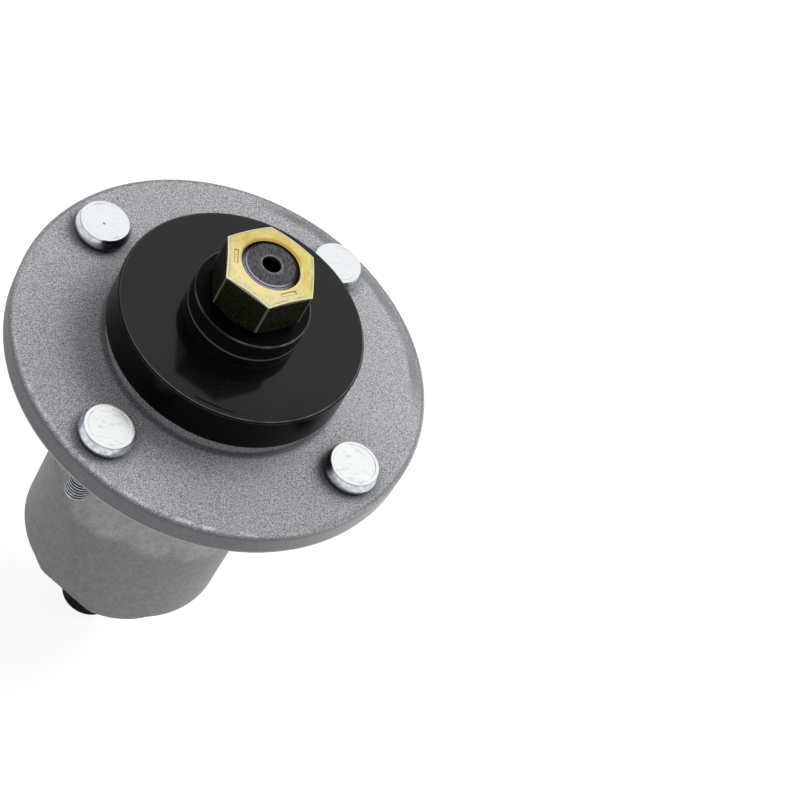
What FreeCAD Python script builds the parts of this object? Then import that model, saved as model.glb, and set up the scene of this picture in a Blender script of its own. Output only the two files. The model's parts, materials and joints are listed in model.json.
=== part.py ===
import FreeCAD, Part
import math
import os

# Mower deck spindle, in millimetres. +Z runs along the spindle axis towards the blade nut,
# and the origin is the centre of the flange face that bolts against the deck.

# Flange
flange_diameter = 142.5
flange_thickness = 9.0
flange_edge_radius = 1.3

# Mounting bolts, pressed through the flange with their heads on the blade side
bolt_count = 4
bolt_circle_diameter = 115.4
bolt_first_angle = 45.0
bolt_thread_diameter = 7.94
bolt_neck_diameter = 8.8
bolt_reach = 24.4
bolt_tip_chamfer = 1.0
bolt_head_diameter = 18.8
bolt_head_face_diameter = 16.5
bolt_head_foot_diameter = 17.6
bolt_head_height = 5.75
bolt_head_widest_level = 2.2
bolt_head_widest_band = 0.6

# Cast housing
boss_diameter = 80.0
boss_height = 5.6
boss_edge = 0.8
waist_diameter = 58.0
waist_flange_radius = 8.0
waist_lower_radius = 10.0
cone_upper_depth = 45.4
cone_lower_depth = 65.4
cone_edge_radius = 4.0
body_diameter = 72.6
body_depth = 103.7
body_edge = 0.8
collar_diameter = 61.0
collar_flat_distance = 28.0
collar_flat_angle = 230.0
collar_length = 11.7
collar_edge = 0.8
bearing_shoulder = 3.5

# Sealed ball bearings, one at each end of the housing
bearing_bore = 25.0
bearing_outside = 52.0
bearing_width = 15.0
bearing_corner = 0.8
bearing_recess = 1.6
ball_diameter = 7.938
ball_count = 9
ball_pitch_diameter = 39.0
inner_ring_shoulder_diameter = 34.0
outer_ring_shoulder_diameter = 44.0
race_flank_angle = 35.0
cage_wall = 2.6
cage_rim = 0.8
seal_thickness = 1.2
seal_inset = 0.3

# Spindle shaft
spline_points = 12
spline_tip_diameter = 24.2
spline_root_diameter = 21.6
spline_tip_share = 0.3
spline_root_share = 0.3
spline_length = 22.0
spline_chamfer = 1.2
pilot_diameter = 19.6
pilot_length = 8.9
pilot_chamfer = 0.6
drive_collar_diameter = 33.0
drive_collar_width = 4.0
drive_hole_diameter = 9.525
drive_hole_depth = 25.0
drive_hole_countersink = 0.8
blade_thread_diameter = 19.05
shaft_end_rise = 0.1
shaft_end_chamfer = 1.2
centre_hole_diameter = 6.4
centre_hole_depth = 9.0
drill_point_angle = 118.0

# Spacer tube between the inner rings
spacer_wall = 3.0

# Blade disc, washer and nut
disc_diameter = 83.2
disc_thickness = 13.95
disc_edge = 0.4
disc_hub_diameter = 32.0
disc_running_gap = 0.4
pad_diameter = 39.2
pad_height = 2.95
pad_bore_lip = 2.3
washer_thickness = 7.0
washer_diameter = 39.2
washer_edge = 0.4
nut_across_flats = 28.575
nut_height = 17.5
nut_face_diameter = 25.2
nut_upper_chamfer_angle = 20.0
nut_lower_chamfer_angle = 38.0
nut_seat_diameter = 27.2
nut_seat_height = 0.8
nut_countersink = 0.5
nut_corner_angle = 25.3

# Clearances
press_clearance = 0.02
slip_clearance = 0.1
thread_clearance = 0.06
race_clearance = 0.12
seal_clearance = 0.25
pocket_clearance = 0.2

# Levels along the axis that several pieces share
boss_top = flange_thickness + boss_height
blade_bearing_top = boss_top - bearing_recess
blade_bearing_bottom = blade_bearing_top - bearing_width
housing_end = -(body_depth + collar_length)
drive_bearing_bottom = housing_end + bearing_recess
drive_bearing_top = drive_bearing_bottom + bearing_width
disc_bottom = boss_top + disc_running_gap
disc_top = disc_bottom + disc_thickness
pad_top = disc_top + pad_height
washer_top = pad_top + washer_thickness
nut_top = washer_top + nut_height
journal_top = pad_top - pad_bore_lip
shaft_top = nut_top + shaft_end_rise
collar_bottom = drive_bearing_bottom - drive_collar_width
spline_end = collar_bottom - spline_length
shaft_bottom = spline_end - pilot_length
seat_radius = bearing_outside / 2
journal_radius = bearing_bore / 2 - press_clearance


def at(radius, height):
    """A point of a profile in the XZ half plane."""
    return FreeCAD.Vector(radius, 0, height)


def turned(corners):
    """A solid of revolution from corners (radius, height[, rounding radius])."""
    count = len(corners)
    edges = []
    starts = []
    ends = []
    arcs = []
    for i, corner in enumerate(corners):
        here = at(corner[0], corner[1])
        rounding = corner[2] if len(corner) > 2 else 0
        if rounding == 0:
            starts.append(here)
            ends.append(here)
            arcs.append(None)
            continue
        before = at(*corners[i - 1][:2])
        after = at(*corners[(i + 1) % count][:2])
        back = (before - here).normalize()
        forth = (after - here).normalize()
        half_angle = back.getAngle(forth) / 2
        reach = rounding / math.tan(half_angle)
        middle = (back + forth).normalize()
        centre = here + middle * (rounding / math.sin(half_angle))
        starts.append(here + back * reach)
        ends.append(here + forth * reach)
        arcs.append(centre - middle * rounding)
    for i in range(count):
        if arcs[i] is not None:
            edges.append(Part.Arc(starts[i], arcs[i], ends[i]).toShape())
        if not ends[i].isEqual(starts[(i + 1) % count], 1e-9):
            edges.append(Part.makeLine(ends[i], starts[(i + 1) % count]))
    face = Part.Face(Part.Wire(edges))
    return face.revolve(FreeCAD.Vector(0, 0, 0), FreeCAD.Vector(0, 0, 1), 360)


def ring(inner_radius, outer_radius, low, high):
    """A plain ring."""
    return turned([(inner_radius, low), (outer_radius, low), (outer_radius, high), (inner_radius, high)])


def prism(points, low, high):
    """A straight prism over a closed outline of (x, y) points."""
    corners = [FreeCAD.Vector(x, y, low) for x, y in points]
    outline = Part.makePolygon(corners + corners[:1])
    return Part.Face(outline).extrude(FreeCAD.Vector(0, 0, high - low))


def polar(radius, degrees):
    """An (x, y) point at a radius and an angle."""
    return radius * math.cos(math.radians(degrees)), radius * math.sin(math.radians(degrees))


def hexagon(across_flats, corner_angle, low, high):
    """A six-sided prism with one corner at the given angle."""
    corner_radius = across_flats / 2 / math.cos(math.radians(30))
    return prism([polar(corner_radius, corner_angle + 60 * i) for i in range(6)], low, high)


def around(shape, count, first_angle=0.0):
    """Copies of a shape spread evenly round the axis."""
    copies = []
    for i in range(count):
        copy = shape.copy()
        copy.rotate(FreeCAD.Vector(0, 0, 0), FreeCAD.Vector(0, 0, 1), first_angle + i * 360.0 / count)
        copies.append(copy)
    return copies


def drilled_hole(radius, mouth, depth, direction):
    """A drilled hole's space with its cone-shaped end, going into the metal along direction (1 or -1)."""
    cone = radius / math.tan(math.radians(drill_point_angle / 2))
    outline = [(0, mouth), (radius, mouth), (radius, mouth + direction * depth),
               (0, mouth + direction * (depth + cone))]
    return turned(outline)


def make_housing():
    """The casting: flange, boss, waist, body and flatted collar, bored for a bearing at each end."""
    shoulder_radius = seat_radius - bearing_shoulder
    casting = turned([
        (seat_radius, boss_top),
        (boss_diameter / 2 - boss_edge, boss_top),
        (boss_diameter / 2, boss_top - boss_edge),
        (boss_diameter / 2, flange_thickness),
        (flange_diameter / 2, flange_thickness, flange_edge_radius),
        (flange_diameter / 2, 0),
        (waist_diameter / 2, 0, waist_flange_radius),
        (waist_diameter / 2, -cone_upper_depth, waist_lower_radius),
        (body_diameter / 2, -cone_lower_depth, cone_edge_radius),
        (body_diameter / 2, body_edge - body_depth),
        (body_diameter / 2 - body_edge, -body_depth),
        (collar_diameter / 2, -body_depth),
        (collar_diameter / 2, housing_end + collar_edge),
        (collar_diameter / 2 - collar_edge, housing_end),
        (seat_radius, housing_end),
        (seat_radius, drive_bearing_top),
        (shoulder_radius, drive_bearing_top),
        (shoulder_radius, blade_bearing_bottom),
        (seat_radius, blade_bearing_bottom),
    ])
    flat = Part.makeBox(collar_diameter, collar_diameter, collar_length)
    flat.translate(FreeCAD.Vector(collar_flat_distance, -collar_diameter / 2, housing_end))
    flat.rotate(FreeCAD.Vector(0, 0, 0), FreeCAD.Vector(0, 0, 1), collar_flat_angle)
    hole = Part.makeCylinder(bolt_neck_diameter / 2 + press_clearance, flange_thickness)
    hole.translate(FreeCAD.Vector(bolt_circle_diameter / 2, 0, 0))
    return casting.cut([flat] + around(hole, bolt_count, bolt_first_angle)).removeSplitter()


def make_mounting_bolts():
    """Flat round-headed bolts; the neck grips the flange and the thread stands out on the deck side."""
    thread_radius = bolt_thread_diameter / 2
    head_radius = bolt_head_diameter / 2
    widest_low = flange_thickness + bolt_head_widest_level
    head_top = flange_thickness + bolt_head_height
    bolt = turned([
        (0, -bolt_reach),
        (thread_radius - bolt_tip_chamfer, -bolt_reach),
        (thread_radius, bolt_tip_chamfer - bolt_reach),
        (thread_radius, 0),
        (bolt_neck_diameter / 2, 0),
        (bolt_neck_diameter / 2, flange_thickness),
        (bolt_head_foot_diameter / 2, flange_thickness),
        (head_radius, widest_low),
        (head_radius, widest_low + bolt_head_widest_band),
        (bolt_head_face_diameter / 2, head_top),
        (0, head_top),
    ])
    bolt.translate(FreeCAD.Vector(bolt_circle_diameter / 2, 0, 0))
    return Part.makeCompound(around(bolt, bolt_count, bolt_first_angle))


def make_spindle_shaft():
    """The shaft: round pilot, splined drive end, collar, bearing journal and threaded blade end."""
    thread_radius = blade_thread_diameter / 2
    tip_radius = spline_tip_diameter / 2
    root_radius = spline_root_diameter / 2
    bar = turned([
        (0, collar_bottom),
        (drive_collar_diameter / 2, collar_bottom),
        (drive_collar_diameter / 2, drive_bearing_bottom),
        (journal_radius, drive_bearing_bottom),
        (journal_radius, journal_top),
        (thread_radius, journal_top),
        (thread_radius, shaft_top - shaft_end_chamfer),
        (thread_radius - shaft_end_chamfer, shaft_top),
        (0, shaft_top),
    ])
    pitch = 360.0 / spline_points
    tip_half = pitch * spline_tip_share / 2
    root_half = pitch * spline_root_share / 2
    outline = []
    for i in range(spline_points):
        tip = i * pitch
        root = tip + pitch / 2
        outline.append(polar(tip_radius, tip - tip_half))
        outline.append(polar(tip_radius, tip + tip_half))
        outline.append(polar(root_radius, root - root_half))
        outline.append(polar(root_radius, root + root_half))
    blank = turned([
        (0, spline_end),
        (tip_radius - spline_chamfer, spline_end),
        (tip_radius, spline_end + spline_chamfer),
        (tip_radius, collar_bottom),
        (0, collar_bottom),
    ])
    spline = prism(outline, spline_end, collar_bottom).common(blank)
    pilot = turned([
        (0, shaft_bottom),
        (pilot_diameter / 2 - pilot_chamfer, shaft_bottom),
        (pilot_diameter / 2, shaft_bottom + pilot_chamfer),
        (pilot_diameter / 2, spline_end),
        (0, spline_end),
    ])
    hole_radius = drive_hole_diameter / 2
    countersink = Part.makeCone(hole_radius + drive_hole_countersink, hole_radius, drive_hole_countersink)
    countersink.translate(FreeCAD.Vector(0, 0, shaft_bottom))
    drive_hole = drilled_hole(hole_radius, shaft_bottom, drive_hole_depth, 1)
    centre_hole = drilled_hole(centre_hole_diameter / 2, shaft_top, centre_hole_depth, -1)
    return bar.fuse([spline, pilot]).cut([drive_hole, countersink, centre_hole])


def make_bearing_spacer():
    """The tube that holds the two inner rings apart."""
    bore = bearing_bore / 2 + slip_clearance
    return ring(bore, bore + spacer_wall, drive_bearing_top, blade_bearing_bottom)


def make_ball():
    """A ball of 26 flats, with its corners on the ball's own sphere."""
    side = ball_diameter / 2 / math.sqrt(1.25 + math.sqrt(2) / 2)
    width = side * (1 + math.sqrt(2))
    block = Part.makeBox(width, width, width, FreeCAD.Vector(-width / 2, -width / 2, -width / 2))
    return block.makeChamfer((width - side) / 2, block.Edges)


def make_bearing(middle):
    """The pieces of one sealed ball bearing, centred at the height middle."""
    half = bearing_width / 2
    pitch_radius = ball_pitch_diameter / 2
    ball_radius = ball_diameter / 2
    inner_shoulder = inner_ring_shoulder_diameter / 2
    outer_shoulder = outer_ring_shoulder_diameter / 2
    race_depth = ball_radius + race_clearance
    flank = math.radians(race_flank_angle)
    floor_half = race_depth * math.tan(flank / 2)
    outer_mouth = (race_depth - (outer_shoulder - pitch_radius) * math.cos(flank)) / math.sin(flank)
    inner_mouth = (race_depth - (pitch_radius - inner_shoulder) * math.cos(flank)) / math.sin(flank)
    outer_edge = seat_radius - press_clearance
    outer_ring = turned([
        (outer_shoulder, -half),
        (outer_edge - bearing_corner, -half),
        (outer_edge, bearing_corner - half),
        (outer_edge, half - bearing_corner),
        (outer_edge - bearing_corner, half),
        (outer_shoulder, half),
        (outer_shoulder, outer_mouth),
        (pitch_radius + race_depth, floor_half),
        (pitch_radius + race_depth, -floor_half),
        (outer_shoulder, -outer_mouth),
    ])
    inner_edge = bearing_bore / 2
    inner_ring = turned([
        (inner_edge + bearing_corner, -half),
        (inner_shoulder, -half),
        (inner_shoulder, -inner_mouth),
        (pitch_radius - race_depth, -floor_half),
        (pitch_radius - race_depth, floor_half),
        (inner_shoulder, inner_mouth),
        (inner_shoulder, half),
        (inner_edge + bearing_corner, half),
        (inner_edge, half - bearing_corner),
        (inner_edge, bearing_corner - half),
    ])
    ball = make_ball()
    ball.translate(FreeCAD.Vector(pitch_radius, 0, 0))
    pocket_half = ball_radius + pocket_clearance
    cage_half = pocket_half + cage_rim
    cage = ring(pitch_radius - cage_wall / 2, pitch_radius + cage_wall / 2, -cage_half, cage_half)
    window = Part.makeBox(2 * cage_wall, 2 * pocket_half, 2 * pocket_half)
    window.translate(FreeCAD.Vector(pitch_radius - cage_wall, -pocket_half, -pocket_half))
    cage = cage.cut(around(window, ball_count))
    seal_in = inner_shoulder + seal_clearance
    seal_out = outer_shoulder - press_clearance
    seal_high = half - seal_inset
    upper_seal = ring(seal_in, seal_out, seal_high - seal_thickness, seal_high)
    lower_seal = ring(seal_in, seal_out, -seal_high, seal_thickness - seal_high)
    pieces = {
        "outer_ring": outer_ring,
        "inner_ring": inner_ring,
        "balls": Part.makeCompound(around(ball, ball_count)),
        "cage": cage,
        "upper_seal": upper_seal,
        "lower_seal": lower_seal,
    }
    for piece in pieces.values():
        piece.translate(FreeCAD.Vector(0, 0, middle))
    return pieces


def make_blade_disc():
    """The disc that carries the blade: hub on the bearing, and a raised pad on the blade side."""
    bore = bearing_bore / 2 + slip_clearance
    return turned([
        (bore, blade_bearing_top),
        (disc_hub_diameter / 2, blade_bearing_top),
        (disc_hub_diameter / 2, disc_bottom),
        (disc_diameter / 2, disc_bottom),
        (disc_diameter / 2, disc_top - disc_edge),
        (disc_diameter / 2 - disc_edge, disc_top),
        (pad_diameter / 2, disc_top),
        (pad_diameter / 2, pad_top - disc_edge),
        (pad_diameter / 2 - disc_edge, pad_top),
        (bore, pad_top),
    ])


def make_blade_washer():
    """The thick washer under the nut."""
    bore = blade_thread_diameter / 2 + slip_clearance
    return turned([
        (bore, pad_top),
        (washer_diameter / 2 - washer_edge, pad_top),
        (washer_diameter / 2, pad_top + washer_edge),
        (washer_diameter / 2, washer_top - washer_edge),
        (washer_diameter / 2 - washer_edge, washer_top),
        (bore, washer_top),
    ])


def make_blade_nut():
    """The hex nut: a round seat under it, its corners turned off at both ends and its thread countersunk."""
    corner_radius = nut_across_flats / 2 / math.cos(math.radians(30))
    face = nut_face_diameter / 2
    seat = nut_seat_diameter / 2
    seat_top = washer_top + nut_seat_height
    bore = blade_thread_diameter / 2 + thread_clearance
    upper_drop = (corner_radius - face) * math.tan(math.radians(nut_upper_chamfer_angle))
    lower_rise = (corner_radius - seat) * math.tan(math.radians(nut_lower_chamfer_angle))
    blank = turned([
        (bore, washer_top),
        (seat, washer_top),
        (seat, seat_top),
        (corner_radius, seat_top + lower_rise),
        (corner_radius, nut_top - upper_drop),
        (face, nut_top),
        (bore + nut_countersink, nut_top),
        (bore, nut_top - nut_countersink),
    ])
    return hexagon(nut_across_flats, nut_corner_angle, washer_top, nut_top).common(blank)


blade_bearing = make_bearing((blade_bearing_top + blade_bearing_bottom) / 2)
drive_bearing = make_bearing((drive_bearing_top + drive_bearing_bottom) / 2)

nodes = {
    "housing": make_housing(),
    "mounting_bolts": make_mounting_bolts(),
    "spindle_shaft": make_spindle_shaft(),
    "bearing_spacer": make_bearing_spacer(),
    "blade_disc": make_blade_disc(),
    "blade_washer": make_blade_washer(),
    "blade_nut": make_blade_nut(),
    "blade_bearing_outside_seal": blade_bearing["upper_seal"],
    "blade_bearing_inside_seal": blade_bearing["lower_seal"],
    "drive_bearing_outside_seal": drive_bearing["lower_seal"],
    "drive_bearing_inside_seal": drive_bearing["upper_seal"],
}
for piece in ("outer_ring", "inner_ring", "balls", "cage"):
    nodes["blade_bearing_" + piece] = blade_bearing[piece]
    nodes["drive_bearing_" + piece] = drive_bearing[piece]

os.makedirs("parts", exist_ok=True)
for name, shape in nodes.items():
    shape.exportStep("parts/" + name + ".step")
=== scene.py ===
import json
import math

import bmesh
import bpy
from mathutils import Matrix, Vector


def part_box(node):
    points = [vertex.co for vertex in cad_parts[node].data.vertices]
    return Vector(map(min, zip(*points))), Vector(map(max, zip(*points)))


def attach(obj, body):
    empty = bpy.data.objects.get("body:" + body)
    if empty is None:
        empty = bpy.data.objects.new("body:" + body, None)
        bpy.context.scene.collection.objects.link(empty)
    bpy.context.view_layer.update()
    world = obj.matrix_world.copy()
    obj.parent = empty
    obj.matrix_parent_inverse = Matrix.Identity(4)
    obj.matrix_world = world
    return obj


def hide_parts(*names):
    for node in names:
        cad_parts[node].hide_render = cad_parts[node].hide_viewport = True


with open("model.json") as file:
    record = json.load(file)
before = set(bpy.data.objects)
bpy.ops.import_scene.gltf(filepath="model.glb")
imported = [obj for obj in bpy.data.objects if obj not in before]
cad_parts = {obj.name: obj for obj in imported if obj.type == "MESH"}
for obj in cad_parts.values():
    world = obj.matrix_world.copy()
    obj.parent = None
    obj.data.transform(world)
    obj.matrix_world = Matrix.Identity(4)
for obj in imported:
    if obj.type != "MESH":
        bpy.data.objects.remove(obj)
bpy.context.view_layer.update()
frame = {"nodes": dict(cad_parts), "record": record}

# Lengths are in metres; places nearer to each other than SAME_PLACE count as one.
MM = 0.001
SAME_PLACE = 1e-6
ROUND_SIDES = 96
MOUNTS = {mount["name"]: mount for mount in frame["record"]["mounts"]}

# Levels and radii of the solids that the finishes and pieces follow.
HOUSING_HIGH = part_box("housing")[1]
BOLTS_LOW, BOLTS_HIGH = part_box("mounting_bolts")
DISC_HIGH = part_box("blade_disc")[1]
WASHER_LOW, WASHER_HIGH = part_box("blade_washer")
NUT_LOW, NUT_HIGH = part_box("blade_nut")
SHAFT_LOW, SHAFT_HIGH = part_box("spindle_shaft")
FLANGE_RADIUS = HOUSING_HIGH.x
BOLT_HEAD_HEIGHT = 5.75 * MM
FLANGE_TOP = BOLTS_HIGH.z - BOLT_HEAD_HEIGHT
BOSS_RADIUS = 40 * MM
DISC_RADIUS = DISC_HIGH.x
PAD_HEIGHT = 2.95 * MM
DISC_TOP = DISC_HIGH.z - PAD_HEIGHT
WASHER_RADIUS = WASHER_HIGH.x

# Mounting bolts: 5/16 inch, eighteen threads to the inch. Each is turned about its own axis by
# BOLT_SPIN times its angle round the spindle.
BOLT_COUNT = MOUNTS["deck_studs"]["dims"]["count"]
BOLT_CIRCLE_RADIUS = MOUNTS["deck_studs"]["dims"]["pcd_mm"] / 2 * MM
BOLT_THREAD_RADIUS = MOUNTS["deck_studs"]["dims"]["stud_r_mm"] * MM
BOLT_THREAD_PITCH = 25.4 / 18 * MM
BOLT_FIRST_ANGLE = math.radians(45)
BOLT_HEAD_RADIUS = 9.4 * MM
BOLT_FACE_RADIUS = 8.25 * MM
BOLT_FOOT_RADIUS = 8.8 * MM
BOLT_WIDEST_LOW = FLANGE_TOP + 2.2 * MM
BOLT_WIDEST_HIGH = FLANGE_TOP + 2.8 * MM
BOLT_BELT_ROUND = 0.28 * MM
BOLT_FACE_ROUND = 0.2 * MM
BOLT_FACE_BORDER = 0.9 * MM
BOLT_FACE_SUNK = 0.1 * MM
BOLT_FACE_TAPER = 0.985
BOLT_NECK_RADIUS = 4.4 * MM
BOLT_NECK_END = 0.2 * MM
BOLT_NECK_TAPER = 0.3 * MM
BOLT_TIP_LENGTH = 1.0 * MM
BOLT_TIP_TAPER = 0.6 * MM
BOLT_THREAD_DEPTH = 0.61 * BOLT_THREAD_PITCH
BOLT_THREAD_OVERLAP = 0.1 * MM
BOLT_THREAD_START = 0.7 * BOLT_TIP_LENGTH
BOLT_SPIN = 1.7
DIMPLED_BOLT = 1
DIMPLE_RADIUS = 0.5 * MM
DIMPLE_SIDES = 20
DIMPLE = Vector((-41.3 * MM, 39.6 * MM, BOLTS_HIGH.z))

# Blade nut: 3/4 inch, sixteen threads to the inch.
NUT_ACROSS_FLATS = 28.575 * MM
NUT_BORE_RADIUS = 9.585 * MM
NUT_CORNER_ANGLE = math.radians(25.3)
NUT_FACE_RADIUS = 12.6 * MM
NUT_UPPER_SLOPE = math.tan(math.radians(20))
NUT_LOWER_SLOPE = math.tan(math.radians(38))
NUT_SEAT_RADIUS = 13.6 * MM
NUT_SEAT_HEIGHT = 0.8 * MM
NUT_END_SPARE = 0.5 * MM
NUT_BLANK_SPARE = 0.2 * MM
NUT_COUNTERSINK = 0.5 * MM
NUT_EDGE_ROUND = 0.04 * MM
NUT_EDGE_ANGLE = math.radians(20)
NUT_SMOOTH_DEGREES = 12
DASH_ANGLES = [NUT_CORNER_ANGLE + corner * math.pi / 3 for corner in (2.5, 4.5)]
DASH_RADIUS = 11.7 * MM
DASH_SIZE = Vector((1.2 * MM, 5.4 * MM, 0.5 * MM))
DASH_EDGE_ROUND = 0.3 * MM

# Tapped hole in the drive end: 3/8 inch, sixteen threads to the inch.
DRIVE_HOLE_RADIUS = MOUNTS["drive_end_thread"]["dims"]["r_mm"] * MM
DRIVE_HOLE_LENGTH = MOUNTS["drive_end_thread"]["dims"]["length_mm"] * MM
DRIVE_HOLE_PITCH = 25.4 / 16 * MM
DRIVE_HOLE_THREAD_DEPTH = 0.6 * DRIVE_HOLE_PITCH
DRIVE_HOLE_OVERLAP = 0.15 * MM
DRIVE_HOLE_START = 0.8 * MM

# A thread's ridge: its root as a share of the pitch, and its crest as a share of its root.
THREAD_ROOT_SHARE = 0.9
THREAD_CREST_SHARE = 0.16
THREAD_STEPS = 36

# Ball bearings.
BALL_COUNT = 9
BALL_RADIUS = 7.938 / 2 * MM
BALL_CIRCLE_RADIUS = 39 / 2 * MM
BALL_MERGE = 0.01 * MM
SEAL_BORE_RADIUS = 17.25 * MM
SEAL_GROOVE_DEPTH = 0.35 * MM
SEAL_GROOVE_SLOPE = 0.3 * MM
SEAL_LIP_WIDTH = 0.35 * MM
SEAL_LIP_HEIGHT = 0.3 * MM
SEAL_BEAD_START = 0.6 * MM
SEAL_BEAD_END = 1.3 * MM
SEAL_RIM_WIDTH = 1.2 * MM

# Floor, room and key light.
FLOOR_SIZE = 12
FLOOR_GAP = 0.5 * MM
FLOOR_TONE = 0.34
FLOOR_GLOW = 0.86
ROOM_LIGHT = 0.33
KEY_PLACE = Vector((0.82, 0.38, 1.08))
KEY_SIZE = 1.0
KEY_RADIANCE = 5.1

# The photograph's camera: its axes and its place in the shared frame.
CAMERA_RIGHT = Vector((0.92567, -0.08049, 0.36966))
CAMERA_UP = Vector((-0.15037, 0.81833, 0.55473))
CAMERA_BACK = Vector((-0.34716, -0.56908, 0.74540))
CAMERA_PLACE = Vector((-0.24380, -0.50885, 0.66455))
CAMERA_SENSOR = 36
CAMERA_LENS = 119.02

# How far a grey that leans warm gains red and loses blue.
WARM_RED = 0.4
WARM_BLUE = 1.6


class Value:
    """A socket in a finish's nodes; arithmetic on it adds Math nodes."""

    def __init__(self, finish, socket):
        self.finish = finish
        self.socket = socket

    def math(self, operation, first, second):
        return self.finish.node("ShaderNodeMath", {"operation": operation}, {0: first, 1: second})

    def __add__(self, other):
        return self.math("ADD", self, other)

    def __radd__(self, other):
        return self.math("ADD", other, self)

    def __sub__(self, other):
        return self.math("SUBTRACT", self, other)

    def __rsub__(self, other):
        return self.math("SUBTRACT", other, self)

    def __mul__(self, other):
        return self.math("MULTIPLY", self, other)

    def __rmul__(self, other):
        return self.math("MULTIPLY", other, self)

    def __or__(self, other):
        return self.math("MAXIMUM", self, other)

    def __ror__(self, other):
        return self.math("MAXIMUM", other, self)


class Finish:
    """A procedural finish on Object coordinates, with one Principled shader."""

    def __init__(self, name, constants):
        self.material = bpy.data.materials.new(name)
        self.material.use_nodes = True
        self.tree = self.material.node_tree
        self.tree.nodes.clear()
        self.shader = self.tree.nodes.new("ShaderNodeBsdfPrincipled")
        output = self.tree.nodes.new("ShaderNodeOutputMaterial")
        self.tree.links.new(self.shader.outputs[0], output.inputs[0])
        for socket, value in constants.items():
            self.shader.inputs[socket].default_value = value
        self.place = self.node("ShaderNodeTexCoord", out="Object")

    def feed(self, socket, value):
        if isinstance(value, Value):
            self.tree.links.new(value.socket, socket)
        else:
            socket.default_value = value

    def node(self, kind, settings=None, sockets=None, out=0):
        added = self.tree.nodes.new(kind)
        for setting, value in (settings or {}).items():
            setattr(added, setting, value)
        for socket, value in (sockets or {}).items():
            self.feed(added.inputs[socket], value)
        return Value(self, added.outputs[out])

    def vector(self, operation, first, second=(0, 0, 0), out=0):
        return self.node("ShaderNodeVectorMath", {"operation": operation}, {0: first, 1: second}, out)

    def axis(self, name):
        return self.node("ShaderNodeSeparateXYZ", None, {0: self.place}, out=name)

    def radius(self):
        """Distance from the spindle's axis."""
        flat = self.vector("MULTIPLY", self.place, (1, 1, 0))
        return self.vector("LENGTH", flat, out="Value")

    def angle(self):
        """Angle about the spindle's axis, in radians from +X."""
        along = self.axis("Y")
        return along.math("ARCTAN2", along, self.axis("X"))

    def bolt_distance(self):
        """Distance from the nearest mounting bolt's axis; the bolts stand on the diagonals."""
        folded = self.vector("ABSOLUTE", self.place)
        flat = self.vector("MULTIPLY", folded, (1, 1, 0))
        offset = BOLT_CIRCLE_RADIUS * math.cos(BOLT_FIRST_ANGLE)
        return self.distance(flat, (offset, offset, 0))

    def distance(self, place, point):
        return self.vector("DISTANCE", place, point, out="Value")

    def reach(self, turn, start=0.0):
        """How far a place lies from start along the level direction at that angle, either way."""
        direction = (math.cos(turn), math.sin(turn), 0)
        along = self.vector("DOT_PRODUCT", self.place, direction, out="Value") - start
        return along.math("ABSOLUTE", along, 0.0)

    def hexagon(self, first_angle):
        """Distance from the axis square to the sides of a hexagon about it."""
        sides = [self.reach(first_angle + side * math.pi / 3) for side in range(3)]
        return sides[0] | sides[1] | sides[2]

    def noise(self, grain, detail=2.0, roughness=0.5, stretch=(1, 1, 1)):
        """Noise from 0 to 1 whose marks are about one grain across, in metres."""
        place = self.vector("MULTIPLY", self.place, stretch)
        sockets = {"Vector": place, "Scale": 1 / grain, "Detail": detail, "Roughness": roughness}
        return self.node("ShaderNodeTexNoise", None, sockets)

    def rise(self, value, low, high):
        """0 below low, 1 above high; the other way round where high is the lower."""
        sockets = {"Value": value, "From Min": low, "From Max": high}
        return self.node("ShaderNodeMapRange", {"clamp": True}, sockets)

    def band(self, value, low, high, soft):
        """1 between low and high, with soft edges of that width."""
        return self.rise(value, low - soft, low) * self.rise(value, high + soft, high)

    def sector(self, low, high, soft):
        """1 between two angles about the spindle's axis, in degrees, with soft edges of that width."""
        return self.band(self.angle(), math.radians(low), math.radians(high), math.radians(soft))

    def blend(self, share, first, second):
        settings = {"data_type": "RGBA", "clamp_factor": True}
        return self.node("ShaderNodeMix", settings, {0: share, 6: first, 7: second}, out=2)

    def bump(self, height, depth, strength):
        sockets = {"Height": height, "Distance": depth, "Strength": strength}
        return self.node("ShaderNodeBump", None, sockets)

    def give(self, **inputs):
        """Feeds the shader's sockets; an underscore in a name stands for a space."""
        for socket, value in inputs.items():
            self.feed(self.shader.inputs[socket.replace("_", " ")], value)
        return self.material


def grey(level, warm=0.0):
    """A grey of that level, leaning to blue where warm is below 0."""
    return (level * (1 + WARM_RED * warm), level, level * (1 - WARM_BLUE * warm), 1)


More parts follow.
